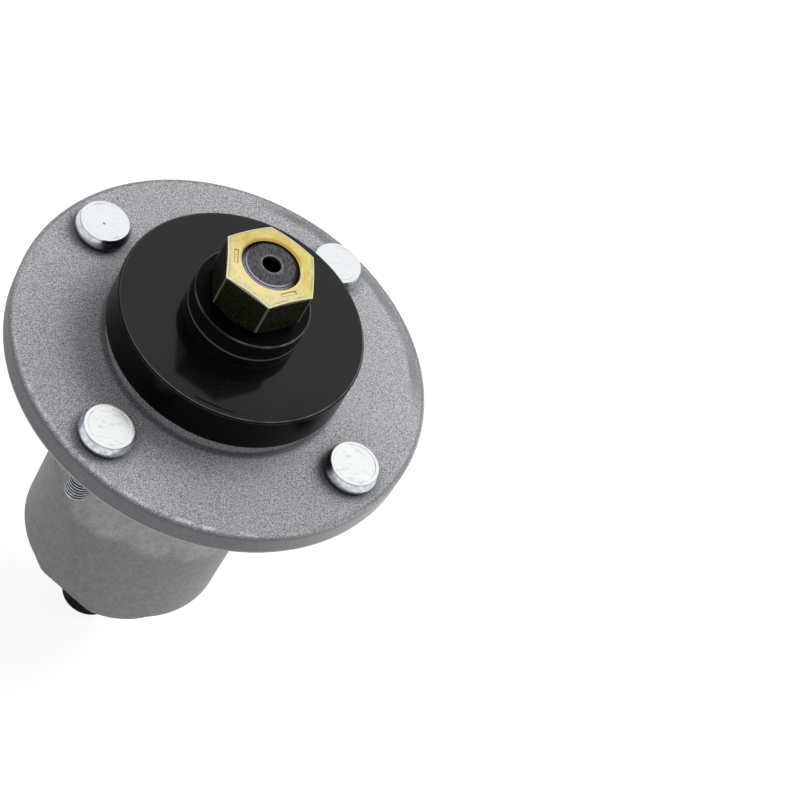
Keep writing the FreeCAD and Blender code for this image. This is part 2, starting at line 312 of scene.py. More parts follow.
def cast_aluminium():
    """Shot-blasted flange whose worn outer edge carries a painted highlight on its near side; the body
    keeps its duller cast skin. Painted shade falls round the bolt heads, where the boss meets the face,
    on the face's low side and along the face's outer edge on its lit side; painted light lies on the
    face's right side, on the outer wall's right and far side and on the body's upper part.
    """
    finish = Finish("cast_aluminium", {"Specular IOR Level": 0.35})
    radius = finish.radius()
    level = finish.axis("Z")
    blasted = finish.rise(level, FLANGE_TOP - 1.2 * MM, FLANGE_TOP - 0.6 * MM)
    grain = finish.noise(0.5 * MM, 2.0, 0.6)
    speck = finish.noise(0.34 * MM, 1.0, 0.5)
    cloud = finish.noise(14 * MM, 3.0, 0.55)
    mottle = finish.rise(grain, 0.38, 0.62) * 0.5 + finish.rise(speck, 0.4, 0.6) * 0.5
    face = finish.blend(mottle, grey(0.12, -0.04), grey(0.76, -0.03))
    face = finish.blend(finish.rise(cloud, 0.4, 0.75) * 0.2, face, grey(0.5, -0.02))
    # Painted shadow: the face darkens round each bolt head.
    painted_bolt_shadow = finish.rise(finish.bolt_distance(), 12.5 * MM, 9.0 * MM)
    face = finish.blend(painted_bolt_shadow * 0.5, face, grey(0.08, -0.03))
    # A darker band just inside the flange's outer edge on the right, near the upper right bolt.
    dark_rim_band = finish.band(radius + (cloud - 0.5) * (3 * MM), 66.6 * MM, 68.8 * MM, 1.2 * MM)
    dark_rim_band = dark_rim_band * finish.sector(0, 66, 12)
    face = finish.blend(dark_rim_band * (0.55 + finish.rise(cloud, 0.3, 0.6) * 0.25), face, grey(0.17, -0.03))
    # Painted shade: the face is darker on its low side.
    painted_low_shade = finish.sector(-98, -44, 18)
    face = finish.blend(painted_low_shade * 0.16, face, grey(0.08, -0.03))
    # Painted light: the face is lighter on its right.
    painted_right_light = finish.sector(-14, 40, 18)
    face = finish.blend(painted_right_light * 0.08, face, grey(0.9, -0.03))
    skin_mottle = finish.rise(finish.noise(2.2 * MM, 4.0, 0.6), 0.3, 0.7) * 0.6
    skin_mottle = skin_mottle + finish.rise(finish.noise(0.8 * MM, 2.0, 0.5), 0.35, 0.65) * 0.4
    skin = finish.blend(skin_mottle, grey(0.38), grey(0.60))
    stain = finish.rise(finish.noise(6 * MM, 4.0, 0.65), 0.5, 0.68)
    skin = finish.blend(stain * 0.35, skin, grey(0.36))
    # Painted light: the body is lighter on its upper part, below the flange.
    painted_light_patch = finish.rise(level + (cloud - 0.5) * (16 * MM), -66 * MM, -60 * MM)
    painted_light_patch = painted_light_patch * (0.65 + finish.rise(cloud, 0.3, 0.6) * 0.35)
    skin = finish.blend(painted_light_patch, skin, finish.blend(skin_mottle, grey(0.58), grey(0.92)))
    wall = finish.rise(radius, FLANGE_RADIUS - 0.4 * MM, FLANGE_RADIUS - 0.1 * MM)
    wall_tone = finish.blend(skin_mottle * 0.4 + mottle * 0.6, grey(0.25, -0.03), grey(0.50, -0.03))
    # Painted light: the outer wall is lighter on its right and far side.
    painted_lit_side = finish.sector(-48, 135, 40)
    wall_tone = finish.blend(painted_lit_side * 0.8, wall_tone, grey(0.85))
    skin = finish.blend(wall, skin, wall_tone)
    colour = finish.blend(blasted, skin, face)
    shade = finish.band(level, FLANGE_TOP - 2.1 * MM, FLANGE_TOP - 1.2 * MM, 0.4 * MM) * wall
    colour = finish.blend(shade * 0.3, colour, grey(0.12, -0.03))
    # Worn nicks and streaks along the outer edge, with a painted highlight that is strongest on the near
    # side.
    highlight_front = finish.sector(-160, -85, 18)
    edge = finish.band(radius, FLANGE_RADIUS - 1.5 * MM, FLANGE_RADIUS - 0.7 * MM, 0.4 * MM)
    edge = edge * finish.rise(level, FLANGE_TOP - 1.2 * MM, FLANGE_TOP - 0.8 * MM)
    streak = finish.rise(finish.noise(4 * MM, 5.0, 0.7), 0.42, 0.62) * (0.35 + mottle * 0.65)
    nicks = finish.rise(finish.noise(1.8 * MM, 3.0, 0.6), 0.62, 0.7) * 0.7
    chips_and_highlight = edge * (streak * (0.15 + highlight_front * 0.85) | nicks)
    colour = finish.blend(chips_and_highlight * 0.9, colour, grey(0.9, -0.04))
    # A bright edge along the wall's lower corner: a painted highlight that also stands for a worn edge.
    corner = wall * finish.band(level, 0.0, 0.5 * MM, 0.15 * MM)
    colour = finish.blend(corner * 0.85, colour, grey(1.0))
    # Painted shade: a dark band along the face's outer edge on its lit side.
    edge_shade_line = finish.band(radius, FLANGE_RADIUS - 1.5 * MM, FLANGE_RADIUS - 0.9 * MM, 0.3 * MM)
    colour = finish.blend(edge_shade_line * painted_lit_side * blasted * 0.5, colour, grey(0.12))
    # Painted shadow where the boss meets the face.
    painted_foot_shade = finish.band(radius, BOSS_RADIUS - 0.1 * MM, BOSS_RADIUS + 1.2 * MM, 1.2 * MM)
    painted_foot_shade = painted_foot_shade * finish.band(level, FLANGE_TOP - 0.2 * MM, FLANGE_TOP + 0.2 * MM, 1.0 * MM)
    colour = finish.blend(painted_foot_shade * 0.6, colour, grey(0.06, -0.03))
    relief = grain * 0.65 + speck * 0.35
    return finish.give(
        Base_Color=colour,
        Metallic=0.08 + blasted * 0.06,
        Roughness=0.6 - chips_and_highlight * 0.15 + (speck - 0.5) * 0.15,
        Normal=finish.bump(relief, 0.14 * MM, 0.6),
    )


def bright_zinc():
    """Zinc plate: nearly white faces and mottled sides, with a painted reflection of the black disc on
    the sides that face it, and painted shade low on the heads near the flange, on the far bolts' faces,
    just below each face, at the face's step, in the dimple and in the thread.
    """
    finish = Finish("bright_zinc", {"Metallic": 1.0})
    radius = finish.radius()
    level = finish.axis("Z")
    cloud = finish.noise(3.5 * MM, 3.0, 0.6)
    blotch = finish.noise(1.6 * MM, 3.0, 0.6)
    marks = finish.rise(finish.noise(2.8 * MM, 4.0, 0.65, (1, 2, 1)), 0.56, 0.68)
    face = finish.blend(finish.rise(cloud, 0.35, 0.7), (0.90, 0.92, 0.925, 1), (0.97, 0.975, 0.975, 1))
    face = finish.blend(marks * 0.6, face, (0.56, 0.61, 0.64, 1))
    # Painted shade: the faces of the bolts on the far side are darker.
    painted_far_shade = finish.rise(finish.axis("Y"), -10 * MM, 10 * MM)
    face = finish.blend(painted_far_shade * 0.5, face, (0.81, 0.84, 0.85, 1))
    # Painted shade in the step round the sunk face.
    ring = finish.band(finish.bolt_distance(), 7.05 * MM, 7.25 * MM, 0.12 * MM)
    ring = ring * finish.rise(finish.noise(6 * MM, 2.0, 0.5), 0.46, 0.6)
    face = finish.blend(ring * 0.55, face, (0.4, 0.43, 0.45, 1))
    # Painted shade: the dimple is near black.
    dimple = finish.rise(finish.distance(finish.place, DIMPLE), 0.5 * MM, 0.35 * MM)
    face = finish.blend(dimple, face, (0.01, 0.01, 0.01, 1))
    side = finish.blend(finish.rise(blotch, 0.36, 0.68), (0.46, 0.50, 0.54, 1), (0.78, 0.82, 0.84, 1))
    # Painted shade on the rounding just below each face.
    rolled_edge_shade = finish.band(level, BOLTS_HIGH.z - 0.7 * MM, BOLTS_HIGH.z - 0.35 * MM, 0.15 * MM)
    side = finish.blend(rolled_edge_shade * 0.45, side, (0.16, 0.19, 0.21, 1))
    head = finish.rise(level, FLANGE_TOP - 0.5 * MM, FLANGE_TOP)
    # Painted reflection of the black disc: the sides that face the disc are near black.
    nearer = radius - finish.rise(finish.axis("X"), 20 * MM, 35 * MM) * (3 * MM)
    painted_disc_reflection = finish.rise(nearer, BOLT_CIRCLE_RADIUS - 3.2 * MM, BOLT_CIRCLE_RADIUS - 6.5 * MM) * head
    side = finish.blend(painted_disc_reflection * 0.93, side, (0.012, 0.015, 0.02, 1))
    # Painted shade low on each head, where it meets the flange.
    painted_foot_shade = finish.rise(level, FLANGE_TOP + 2.5 * MM, FLANGE_TOP + 1.0 * MM) * head
    side = finish.blend(painted_foot_shade * 0.9, side, (0.03, 0.035, 0.045, 1))
    # Painted shade in the thread's grooves.
    groove = finish.rise(finish.bolt_distance(), 3.9 * MM, 3.6 * MM) * (1.0 - head)
    groove = groove * finish.rise(level, BOLTS_LOW.z + 0.2 * MM, BOLTS_LOW.z + 0.8 * MM)
    side = finish.blend(groove * 0.95, side, (0.012, 0.014, 0.017, 1))
    top = finish.rise(level, BOLTS_HIGH.z - 0.3 * MM, BOLTS_HIGH.z - 0.18 * MM)
    return finish.give(
        Base_Color=finish.blend(top, side, face),
        Roughness=0.14 + cloud * 0.1 + marks * 0.1 + top * 0.08,
        Normal=finish.bump(cloud * 0.5 + blotch * 0.5, 0.05 * MM, 0.35),
    )


def yellow_zinc():
    """Yellow chromate on the nut: gold face with painted light towards the near left, sides painted dark
    olive as a reflection of the black disc, worn pale edges with a painted highlight, and a painted
    highlight and painted shade round the bore's mouth.
    """
    finish = Finish("yellow_zinc", {"IOR": 1.26})
    radius = finish.radius()
    level = finish.axis("Z")
    cloud = finish.noise(4.5 * MM, 3.0, 0.6)
    fine = finish.noise(0.8 * MM, 3.0, 0.65)
    across = finish.hexagon(NUT_CORNER_ANGLE + math.pi / 6)
    top = finish.rise(level, NUT_HIGH.z - 1.9 * MM, NUT_HIGH.z - 1.5 * MM)
    gold = finish.blend(finish.rise(cloud, 0.3, 0.7), (0.66, 0.48, 0.12, 1), (0.79, 0.67, 0.25, 1))
    stain = finish.rise(finish.noise(2.6 * MM, 4.0, 0.65), 0.58, 0.72)
    gold = finish.blend(stain * 0.5, gold, (0.5, 0.29, 0.07, 1))
    # Painted light: the face is paler towards the near left.
    pale = finish.rise(finish.axis("Y") + finish.axis("X") * 0.6, 3 * MM, -9 * MM)
    gold = finish.blend(pale * 0.75, gold, (0.93, 0.81, 0.42, 1))
    dull = finish.rise(radius, NUT_FACE_RADIUS, NUT_FACE_RADIUS + 0.3 * MM)
    gold = finish.blend(dull * finish.rise(fine, 0.35, 0.6) * 0.5, gold, (0.72, 0.72, 0.5, 1))
    # Painted highlight on the near side of the bore's mouth and painted shade on its far side.
    mouth = finish.rise(radius, NUT_BORE_RADIUS + 1.1 * MM, NUT_BORE_RADIUS + 0.55 * MM)
    behind = finish.rise(finish.axis("Y"), -2 * MM, 4 * MM)
    lit_and_shaded_lip = finish.blend(behind, (0.93, 0.86, 0.55, 1), (0.42, 0.25, 0.07, 1))
    gold = finish.blend(mouth * 0.7, gold, lit_and_shaded_lip)
    lemon = finish.rise(finish.axis("X"), 9.5 * MM, 12.5 * MM) * finish.rise(cloud, 0.3, 0.55)
    gold = finish.blend(lemon * 0.7, gold, (0.78, 0.72, 0.15, 1))
    for turn in DASH_ANGLES:
        across_dash = finish.reach(turn, DASH_RADIUS) - DASH_SIZE.x / 2
        along_dash = finish.reach(turn + math.pi / 2) - DASH_SIZE.y / 2
        dash = finish.band(across_dash | along_dash, -0.1 * MM, 0.05 * MM, 0.1 * MM)
        gold = finish.blend(dash * 0.85, gold, (0.2, 0.08, 0.015, 1))
    # The sides are painted dark olive, a painted reflection of the black disc.
    side_mottle = finish.rise(fine, 0.42, 0.75)
    sides = finish.blend(side_mottle, (0.010, 0.010, 0.005, 1), (0.055, 0.05, 0.022, 1))
    scratch = finish.rise(finish.noise(0.9 * MM, 4.0, 0.7, (1, 1, 0.4)), 0.66, 0.76)
    sides = finish.blend(scratch * 0.4, sides, (0.24, 0.22, 0.13, 1))
    # Painted highlight on the hexagon's corners, standing also for wear.
    corner = finish.rise(radius, 16.2 * MM, 16.4 * MM)
    sides = finish.blend(corner * 0.7, sides, (0.4, 0.38, 0.28, 1))
    flat = NUT_ACROSS_FLATS / 2
    # Painted highlight along the hexagon's top edges, standing also for worn edges.
    painted_rim_highlight = finish.rise(across, flat - 0.35 * MM, flat - 0.2 * MM)
    worn = finish.rise(finish.noise(2.2 * MM, 4.0, 0.65), 0.5, 0.66) * dull
    gold = finish.blend(worn * 0.55, gold, (0.42, 0.42, 0.26, 1))
    inside = finish.band(across, flat - 0.85 * MM, flat - 0.55 * MM, 0.15 * MM)
    inside = inside * finish.rise(finish.noise(4 * MM, 2.0, 0.5), 0.4, 0.6)
    gold = finish.blend(inside * 0.55, gold, (0.36, 0.25, 0.08, 1))
    gold = finish.blend(painted_rim_highlight * 0.7, gold, (0.90, 0.87, 0.70, 1))
    return finish.give(
        Base_Color=finish.blend(top, sides, gold),
        Metallic=top,
        Roughness=0.16 + cloud * 0.1 + top * 0.06,
        Normal=finish.bump(cloud * 0.7 + fine * 0.3, 0.04 * MM, 0.3),
    )


def satin_black():
    """Black coating on the disc: satin gloss, worn edges with a painted highlight on the near side, and
    a dull mark along its outer edge.
    """
    constants = {"IOR": 1.135, "Metallic": 0.0, "Coat IOR": 1.5, "Coat Roughness": 0.09}
    finish = Finish("satin_black", constants)
    radius = finish.radius()
    level = finish.axis("Z")
    haze = finish.noise(9 * MM, 3.0, 0.55)
    colour = finish.blend(finish.rise(haze, 0.3, 0.7), grey(0.0025, -0.05), grey(0.004, -0.08))
    top = finish.rise(level, DISC_TOP - 0.2 * MM, DISC_TOP - 0.02 * MM)
    upper_edge = finish.band(radius, DISC_RADIUS - 0.7 * MM, DISC_RADIUS - 0.45 * MM, 0.1 * MM) * top
    lower_edge = finish.band(level, DISC_TOP - 0.75 * MM, DISC_TOP - 0.5 * MM, 0.1 * MM)
    lower_edge = lower_edge * finish.rise(radius, DISC_RADIUS - 0.3 * MM, DISC_RADIUS - 0.1 * MM)
    edge = upper_edge | lower_edge * 0.6
    rubbed_and_highlit_edge = edge * (0.35 + finish.rise(finish.noise(5 * MM, 2.0, 0.5), 0.35, 0.65) * 0.65)
    pad = finish.rise(radius, WASHER_RADIUS - 0.5 * MM, WASHER_RADIUS - 0.35 * MM)
    pad = pad * finish.rise(level, DISC_HIGH.z - 0.5 * MM, DISC_HIGH.z - 0.3 * MM)
    # Worn edges, with a painted highlight that is strongest on the near side.
    highlight_front = finish.sector(-140, -10, 20)
    rubbed_and_highlit_edge = rubbed_and_highlit_edge * (0.3 + highlight_front * 0.7)
    colour = finish.blend((rubbed_and_highlit_edge | pad * 0.6) * 0.7, colour, grey(0.2))
    arc = finish.sector(-115.5, -98.5, 2)
    wavy_radius = radius + finish.noise(3 * MM) * (0.5 * MM)
    mark = finish.band(wavy_radius, 39.2 * MM, 39.6 * MM, 0.15 * MM) * arc * top
    gather = finish.rise(finish.noise(18 * MM, 2.0, 0.5), 0.5, 0.7)
    scuff = finish.rise(finish.noise(1.5 * MM, 4.0, 0.7), 0.64, 0.72) * gather * top
    colour = finish.blend(scuff * 0.25, colour, grey(0.3))
    gloss = top * (0.57 - finish.rise(finish.axis("Y"), -20 * MM, -38 * MM) * 0.15)
    return finish.give(
        Base_Color=colour,
        Roughness=0.2 + haze * 0.1 + rubbed_and_highlit_edge * 0.25 + mark * 0.5,
        Coat_Weight=gloss * (1.0 - mark),
        Normal=finish.bump(haze, 0.024 * MM, 0.5),
    )


def black_steel():
    """Black washer with worn edges."""
    finish = Finish("black_steel", {"IOR": 1.14, "Metallic": 0.0})
    radius = finish.radius()
    level = finish.axis("Z")
    haze = finish.noise(5 * MM, 3.0, 0.6)
    top = finish.rise(level, WASHER_HIGH.z - 0.5 * MM, WASHER_HIGH.z - 0.3 * MM)
    colour = finish.blend(finish.rise(haze, 0.3, 0.7), grey(0.009, 0.02), grey(0.014, 0.03))
    colour = finish.blend(top * 0.8, colour, grey(0.0015, 0.02))
    ends = top | finish.rise(level, WASHER_LOW.z + 0.5 * MM, WASHER_LOW.z + 0.3 * MM)
    edge = ends * finish.rise(radius, WASHER_RADIUS - 0.55 * MM, WASHER_RADIUS - 0.4 * MM)
    worn = edge * (0.25 + finish.rise(finish.noise(6 * MM, 3.0, 0.6), 0.4, 0.65) * 0.75)
    colour = finish.blend(worn * 0.6, colour, grey(0.28, 0.05))
    return finish.give(
        Base_Color=colour,
        Roughness=0.24 + haze * 0.12 + edge * 0.2,
        Normal=finish.bump(haze, 0.03 * MM, 0.3),
    )


def black_oxide_steel():
    """Oiled black oxide on the shaft; the blade end has a painted highlight round its edges on the side
    towards the eye, painted shade on its chamfered edge, and is lighter round its centre hole.
    """
    finish = Finish("black_oxide_steel", {"Metallic": 1.0, "Specular Tint": (0.6, 0.6, 0.6, 1)})
    radius = finish.radius()
    level = finish.axis("Z")
    cloud = finish.noise(2.2 * MM, 3.0, 0.6)
    rings = finish.noise(0.35 * MM, 2.0, 0.5, (0, 0, 1))
    end = finish.rise(level, SHAFT_HIGH.z - 1.5 * MM, SHAFT_HIGH.z - 1.2 * MM)
    dark = finish.blend(finish.rise(cloud, 0.3, 0.7), grey(0.005, -0.03), grey(0.011, -0.04))
    scratched = finish.noise(0.9 * MM, 4.0, 0.7, (1.6, 0.5, 1))
    face = finish.blend(finish.rise(scratched, 0.36, 0.66), grey(0.04, -0.03), grey(0.15, -0.03))
    colour = finish.blend(end, dark, face)
    centre = finish.rise(radius, 4.3 * MM, 3.5 * MM) * finish.rise(radius, 2.9 * MM, 3.2 * MM)
    colour = finish.blend(centre * end * 0.3, colour, (0.42, 0.41, 0.45, 1))
    towards_eye = finish.rise(finish.axis("Y") + finish.axis("X") * 0.8, 1 * MM, -6 * MM)
    # Painted shade on the end's chamfered edge, wider on the side away from the eye.
    chamfer_shade = finish.rise(radius - towards_eye * (0.5 * MM), 7.8 * MM, 8.0 * MM) * end
    colour = finish.blend(chamfer_shade * 0.85, colour, (0.02, 0.016, 0.014, 1))
    # Painted highlight on the end's edges on the side towards the eye.
    outer_rim = finish.band(radius, 8.95 * MM, 9.3 * MM, 0.12 * MM)
    painted_rim_highlight = outer_rim | finish.band(radius, 8.3 * MM, 8.6 * MM, 0.12 * MM)
    colour = finish.blend(painted_rim_highlight * end * towards_eye * 0.85, colour, (0.44, 0.42, 0.48, 1))
    return finish.give(
        Base_Color=colour,
        Roughness=0.32 + cloud * 0.16 + rings * 0.06,
        Normal=finish.bump(cloud * 0.6 + rings * 0.4, 0.05 * MM, 0.35),
    )


def plain_steel(name, light, dark, rough):
    """Drawn or ground steel with fine marks round its axis."""
    finish = Finish(name, {"Metallic": 1.0})
    marks = finish.noise(0.5 * MM, 2.0, 0.6, (0.15, 0.15, 1))
    colour = finish.blend(finish.rise(marks, 0.3, 0.7), grey(dark, -0.01), grey(light, -0.01))
    return finish.give(
        Base_Color=colour,
        Roughness=rough + marks * 0.12,
        Normal=finish.bump(marks, 0.02 * MM, 0.3),
    )


def moulded(name, light, dark, rough, grain):
    """Moulded rubber or plastic with a fine matt grain."""
    finish = Finish(name, {"Metallic": 0.0, "IOR": 1.45})
    texture = finish.noise(grain, 3.0, 0.6)
    colour = finish.blend(finish.rise(texture, 0.3, 0.7), grey(dark), grey(light))
    return finish.give(
        Base_Color=colour,
        Roughness=rough + texture * 0.12,
        Normal=finish.bump(texture, 0.04 * MM, 0.5),
    )


FINISHES = {
    "cast_aluminium": cast_aluminium(),
    "bright_zinc": bright_zinc(),
    "yellow_zinc": yellow_zinc(),
    "satin_black": satin_black(),
    "black_steel": black_steel(),
    "black_oxide_steel": black_oxide_steel(),
    "plain_steel": plain_steel("plain_steel", 0.5, 0.4, 0.32),
    "bearing_steel": plain_steel("bearing_steel", 0.66, 0.58, 0.2),
    "cage_plastic": moulded("cage_plastic", 0.035, 0.025, 0.5, 0.6 * MM),
    "seal_rubber": moulded("seal_rubber", 0.022, 0.014, 0.55, 0.5 * MM),
}

BEARING_FINISHES = {
    "outer_ring": "bearing_steel",
    "inner_ring": "bearing_steel",
    "balls": "bearing_steel",
    "cage": "cage_plastic",
    "outside_seal": "seal_rubber",
    "inside_seal": "seal_rubber",
}
NODE_FINISHES = {
    "housing": "cast_aluminium",
    "mounting_bolts": "bright_zinc",
    "spindle_shaft": "black_oxide_steel",
    "bearing_spacer": "plain_steel",
    "blade_disc": "satin_black",
    "blade_washer": "black_steel",
    "blade_nut": "yellow_zinc",
}
for end in ("blade", "drive"):
    for part, finish_name in BEARING_FINISHES.items():
        NODE_FINISHES[end + "_bearing_" + part] = finish_name


def coat(piece, finish_name):
    piece.data.materials.clear()
    piece.data.materials.append(FINISHES[finish_name])


for node_name, finish_name in NODE_FINISHES.items():
    coat(frame["nodes"][node_name], finish_name)


def named(name):
    """Names the piece just added and puts its place into its mesh."""
    piece = bpy.context.object
    piece.name = name
    piece.data.name = name
    bpy.ops.object.transform_apply(location=True, rotation=True, scale=True)
    return piece


def pick(piece):
    """Makes the piece the only one selected, and the active one."""
    bpy.ops.object.select_all(action="DESELECT")
    piece.select_set(True)
    bpy.context.view_layer.objects.active = piece


def add_cylinder(name, radius, low, high, sides=ROUND_SIDES, turn=0.0):
    bpy.ops.object.select_all(action="DESELECT")
    middle = (0, 0, (low + high) / 2)
    bpy.ops.mesh.primitive_cylinder_add(
        vertices=sides, radius=radius, depth=high - low, location=middle, rotation=(0, 0, turn)
    )
    return named(name)


def choose(piece, kind, test):
    """Selects, in edit mode, the faces, edges or verts that pass the test."""
    bpy.ops.mesh.select_mode(type=kind)
    bpy.ops.mesh.select_all(action="DESELECT")
    mesh = bmesh.from_edit_mesh(piece.data)
    elements = {"FACE": mesh.faces, "EDGE": mesh.edges, "VERT": mesh.verts}[kind]
    for element in elements:
        if test(element):
            element.select_set(True)
    mesh.select_flush_mode()
    bmesh.update_edit_mesh(piece.data)


def at_level(level):
    """A test for elements that lie wholly at that height."""

    def test(element):
        corners = [element] if isinstance(element, bmesh.types.BMVert) else element.verts
        return all(abs(corner.co.z - level) < SAME_PLACE for corner in corners)

    return test


def extrude(rise, widen=1.0):
    bpy.ops.mesh.extrude_region_move(TRANSFORM_OT_translate={"value": (0, 0, rise)})
    if widen != 1.0:
        bpy.ops.transform.resize(value=(widen, widen, 1))


def apply_modifier(piece, kind, **settings):
    modifier = piece.modifiers.new(kind.lower(), kind)
    for setting, value in settings.items():
        setattr(modifier, setting, value)
    bpy.context.view_layer.objects.active = piece
    bpy.ops.object.modifier_apply(modifier=modifier.name)


def cut(piece, tool, operation):
    apply_modifier(piece, "BOOLEAN", object=tool, operation=operation, solver="EXACT")
    bpy.data.objects.remove(tool)


def add_thread(name, root_radius, crest_radius, pitch, low, turns):
    """A helical ridge of one thread, its root just inside the wall that carries it."""
    bpy.ops.object.select_all(action="DESELECT")
    middle = ((root_radius + crest_radius) / 2, 0, low)
    bpy.ops.mesh.primitive_plane_add(size=1, location=middle, rotation=(math.pi / 2, 0, 0))
    bpy.ops.transform.resize(value=(abs(crest_radius - root_radius), 1, pitch * THREAD_ROOT_SHARE))
    ridge = named(name)
    bpy.ops.object.mode_set(mode="EDIT")
    bpy.ops.mesh.delete(type="ONLY_FACE")
    choose(ridge, "VERT", lambda vert: abs(vert.co.x - crest_radius) < SAME_PLACE)
    bpy.ops.transform.resize(value=(1, 1, THREAD_CREST_SHARE))
    bpy.ops.object.mode_set(mode="OBJECT")
    apply_modifier(
        ridge, "SCREW", axis="Z", angle=2 * math.pi, screw_offset=pitch,
        iterations=turns, steps=THREAD_STEPS, render_steps=THREAD_STEPS,
    )
    bpy.ops.object.mode_set(mode="EDIT")
    bpy.ops.mesh.select_all(action="SELECT")
    bpy.ops.mesh.fill_holes(sides=4)
    bpy.ops.mesh.select_all(action="SELECT")
    bpy.ops.mesh.normals_make_consistent(inside=False)
    bpy.ops.object.mode_set(mode="OBJECT")
    return ridge


def smooth(piece, degrees=32):
    pick(piece)
    bpy.ops.object.shade_smooth_by_angle(angle=math.radians(degrees))


def hand_over(piece, body, slot_name, *nodes):
    coat(piece, slot_name)
    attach(piece, body)
    if nodes:
        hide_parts(*nodes)


def model_bolt():
    """Flat head with tapered, rounded sides, a neck through the flange and a threaded shank."""
    head_top = BOLTS_HIGH.z
    tip = BOLTS_LOW.z
    root_radius = BOLT_THREAD_RADIUS - BOLT_THREAD_DEPTH
    bolt = add_cylinder("deck_bolt_1", BOLT_HEAD_RADIUS, BOLT_WIDEST_LOW, BOLT_WIDEST_HIGH)
    bpy.ops.object.mode_set(mode="EDIT")
    choose(bolt, "FACE", at_level(BOLT_WIDEST_HIGH))
    extrude(head_top - BOLT_WIDEST_HIGH, BOLT_FACE_RADIUS / BOLT_HEAD_RADIUS)
    choose(bolt, "FACE", at_level(BOLT_WIDEST_LOW))
    extrude(FLANGE_TOP - BOLT_WIDEST_LOW, BOLT_FOOT_RADIUS / BOLT_HEAD_RADIUS)
    rounds = {
        BOLT_WIDEST_LOW: BOLT_BELT_ROUND,
        BOLT_WIDEST_HIGH: BOLT_BELT_ROUND,
        head_top: BOLT_FACE_ROUND,
    }
    for level, offset in rounds.items():
        choose(bolt, "EDGE", at_level(level))
        bpy.ops.mesh.bevel(offset=offset, segments=3, profile=0.5, affect="EDGES")
    choose(bolt, "FACE", at_level(head_top))
    bpy.ops.mesh.inset(thickness=BOLT_FACE_BORDER)
    extrude(-BOLT_FACE_SUNK, BOLT_FACE_TAPER)
    choose(bolt, "FACE", at_level(FLANGE_TOP))
    bpy.ops.mesh.inset(thickness=BOLT_FOOT_RADIUS - BOLT_NECK_RADIUS)
    extrude(-FLANGE_TOP - BOLT_NECK_END)
    extrude(-BOLT_NECK_TAPER, root_radius / BOLT_NECK_RADIUS)
    extrude(tip + BOLT_NECK_END + BOLT_NECK_TAPER + BOLT_TIP_LENGTH)
    extrude(-BOLT_TIP_LENGTH, (root_radius - BOLT_TIP_TAPER) / root_radius)
    bpy.ops.object.mode_set(mode="OBJECT")
    turns = int((-tip - BOLT_TIP_LENGTH) / BOLT_THREAD_PITCH)
    low = tip + BOLT_THREAD_START
    hidden_radius = root_radius - BOLT_THREAD_OVERLAP
    ridge = add_thread("bolt_thread", hidden_radius, BOLT_THREAD_RADIUS, BOLT_THREAD_PITCH, low, turns)
    cut(bolt, ridge, "UNION")
    return bolt


def model_bolts():
    bolt = model_bolt()
    bolts = [bolt]
    for number in range(1, BOLT_COUNT):
        pick(bolt)
        bpy.ops.object.duplicate(linked=False)
        copy = bpy.context.object
        copy.name = "deck_bolt_%d" % (number + 1)
        copy.data.name = copy.name
        bolts.append(copy)
    for number, piece in enumerate(bolts):
        angle = BOLT_FIRST_ANGLE + number * 2 * math.pi / BOLT_COUNT
        place = Vector((math.cos(angle), math.sin(angle), 0)) * BOLT_CIRCLE_RADIUS
        pick(piece)
        piece.rotation_euler.z = angle * BOLT_SPIN
        piece.location = place
        bpy.ops.object.transform_apply(location=True, rotation=True, scale=True)
        if number == DIMPLED_BOLT:
            width = 2 * DIMPLE_RADIUS
            bpy.ops.mesh.primitive_cone_add(
                vertices=DIMPLE_SIDES, radius1=0, radius2=width, depth=width, location=DIMPLE
            )
            cut(piece, bpy.context.object, "DIFFERENCE")
        smooth(piece)
        hand_over(piece, "housing", "bright_zinc", "mounting_bolts")


